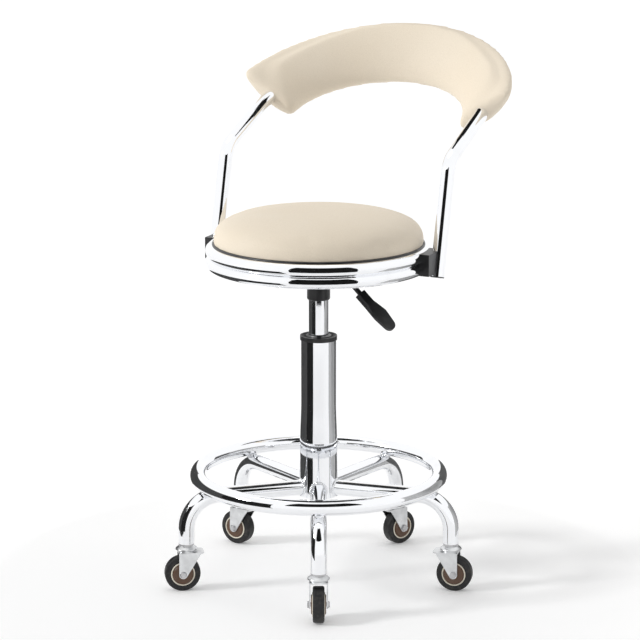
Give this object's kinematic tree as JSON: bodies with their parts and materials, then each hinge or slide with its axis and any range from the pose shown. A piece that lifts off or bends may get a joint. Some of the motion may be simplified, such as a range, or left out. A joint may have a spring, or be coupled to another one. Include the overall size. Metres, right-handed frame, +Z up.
{
  "type": "rolling stylist stool",
  "caption": "Height-adjustable rolling stool with a round padded seat in a chromed rim, a wrap-around back pad, a foot ring and swivel casters.",
  "frame": {"origin": "the column's axis at floor level, where the wheels' lowest points stand", "axes": "+Z up along the column, -Y the way the sitter faces, +X to the side of the height lever"},
  "size_m": [0.4289, 0.5746, 0.7433],
  "materials": {
    "chrome": "polished chromium plate",
    "steel": "bright zinc plated",
    "zinc": "satin zinc plate",
    "aluminium": "turned",
    "black_plastic": "satin moulded",
    "black_rubber": "matt",
    "black_paint": "satin black",
    "dust_cloth": "non-woven",
    "plywood": "sanded",
    "foam": "moulded foam",
    "upholstery": "cream leatherette, fine grain",
    "brown_plastic": "moulded",
    "tyre": "matt rubber"
  },
  "bodies": {
    "base": {"column_tube": "chrome", "column_floor": "steel", "guide_bush": "black_plastic", "thrust_race_lower": "steel", "foot_ring": "chrome", "leg_sockets": "steel", "caster_stems": "steel", "caster_dishes": "zinc", "leg_1": "chrome", "leg_2": "chrome", "leg_3": "chrome", "leg_4": "chrome", "leg_5": "chrome"},
    "lift_rod": {"piston_rod": "steel", "piston": "aluminium", "thrust_balls": "steel", "thrust_race_upper": "steel", "buffer": "black_rubber", "retaining_clip": "steel"},
    "seat": {"gas_cylinder": "chrome", "rod_guide": "black_plastic", "taper_socket": "black_paint", "mechanism_plate": "black_paint", "plate_bolts": "steel", "lever_pin": "steel", "seat_board": "plywood", "dust_cover": "dust_cloth", "seat_foam": "foam", "seat_cover": "upholstery", "seat_rim": "chrome", "rim_screws": "steel", "back_frame": "chrome", "arm_spacers": "black_plastic", "arm_bolts": "steel", "arm_plugs": "black_plastic", "back_foam": "foam", "back_cover": "upholstery"},
    "lever": {"lever_rod": "black_paint", "lever_grip": "black_plastic"},
    "release": {"release_pin": "steel"},
    "caster_1": {"fork_1": "zinc", "axle_1": "steel"},
    "wheel_1": {"wheel_hub_1": "brown_plastic", "tyre_1": "tyre"},
    "caster_2": {"fork_2": "zinc", "axle_2": "steel"},
    "wheel_2": {"wheel_hub_2": "brown_plastic", "tyre_2": "tyre"},
    "caster_3": {"fork_3": "zinc", "axle_3": "steel"},
    "wheel_3": {"wheel_hub_3": "brown_plastic", "tyre_3": "tyre"},
    "caster_4": {"fork_4": "zinc", "axle_4": "steel"},
    "wheel_4": {"wheel_hub_4": "brown_plastic", "tyre_4": "tyre"},
    "caster_5": {"fork_5": "zinc", "axle_5": "steel"},
    "wheel_5": {"wheel_hub_5": "brown_plastic", "tyre_5": "tyre"}
  },
  "joints": [
    {"name": "seat_swivel", "type": "hinge", "parent": "base", "child": "lift_rod", "pos_m": [0, 0, 0], "axis": [0, 0, 1], "continuous": true},
    {"name": "seat_height", "type": "slide", "parent": "lift_rod", "child": "seat", "axis": [0, 0, 1], "range_m": [-0.045, 0.075]},
    {"name": "height_lever", "type": "hinge", "parent": "seat", "child": "lever", "pos_m": [0.026, 0, 0.4402], "axis": [0, -1, 0], "range_deg": [0, 8], "stiffness_Nm_per_rad": 0.4, "springref_deg": -11.46},
    {"name": "release_travel", "type": "slide", "parent": "seat", "child": "release", "axis": [0, 0, -1], "range_m": [0, 0.004]},
    {"name": "caster_1_swivel", "type": "hinge", "parent": "base", "child": "caster_1", "pos_m": [0.0758, -0.17858, 0.06], "axis": [0, 0, 1], "continuous": true},
    {"name": "wheel_1_roll", "type": "hinge", "parent": "caster_1", "child": "wheel_1", "pos_m": [0.07815, -0.1841, 0.025], "axis": [0.9205, 0.3907, 0], "continuous": true},
    {"name": "caster_2_swivel", "type": "hinge", "parent": "base", "child": "caster_2", "pos_m": [0.19326, 0.01691, 0.06], "axis": [0, 0, 1], "continuous": true},
    {"name": "wheel_2_roll", "type": "hinge", "parent": "caster_2", "child": "wheel_2", "pos_m": [0.19919, 0.01785, 0.025], "axis": [-0.1564, 0.9877, 0], "continuous": true},
    {"name": "caster_3_swivel", "type": "hinge", "parent": "base", "child": "caster_3", "pos_m": [0.04364, 0.18903, 0.06], "axis": [0, 0, 1], "continuous": true},
    {"name": "wheel_3_roll", "type": "hinge", "parent": "caster_3", "child": "wheel_3", "pos_m": [0.04655, 0.19428, 0.025], "axis": [-0.8746, 0.4848, 0], "continuous": true},
    {"name": "caster_4_swivel", "type": "hinge", "parent": "base", "child": "caster_4", "pos_m": [-0.16629, 0.09992, 0.06], "axis": [0, 0, 1], "continuous": true},
    {"name": "wheel_4_roll", "type": "hinge", "parent": "caster_4", "child": "wheel_4", "pos_m": [-0.17218, 0.10106, 0.025], "axis": [-0.1908, -0.9816, 0], "continuous": true},
    {"name": "caster_5_swivel", "type": "hinge", "parent": "base", "child": "caster_5", "pos_m": [-0.14641, -0.12727, 0.06], "axis": [0, 0, 1], "continuous": true},
    {"name": "wheel_5_roll", "type": "hinge", "parent": "caster_5", "child": "wheel_5", "pos_m": [-0.1515, -0.13045, 0.025], "axis": [0.5299, -0.848, 0], "continuous": true}
  ],
  "couplings": [
    {"joint": "release_travel", "follows": "height_lever", "m_per_rad": 0.026}
  ]
}
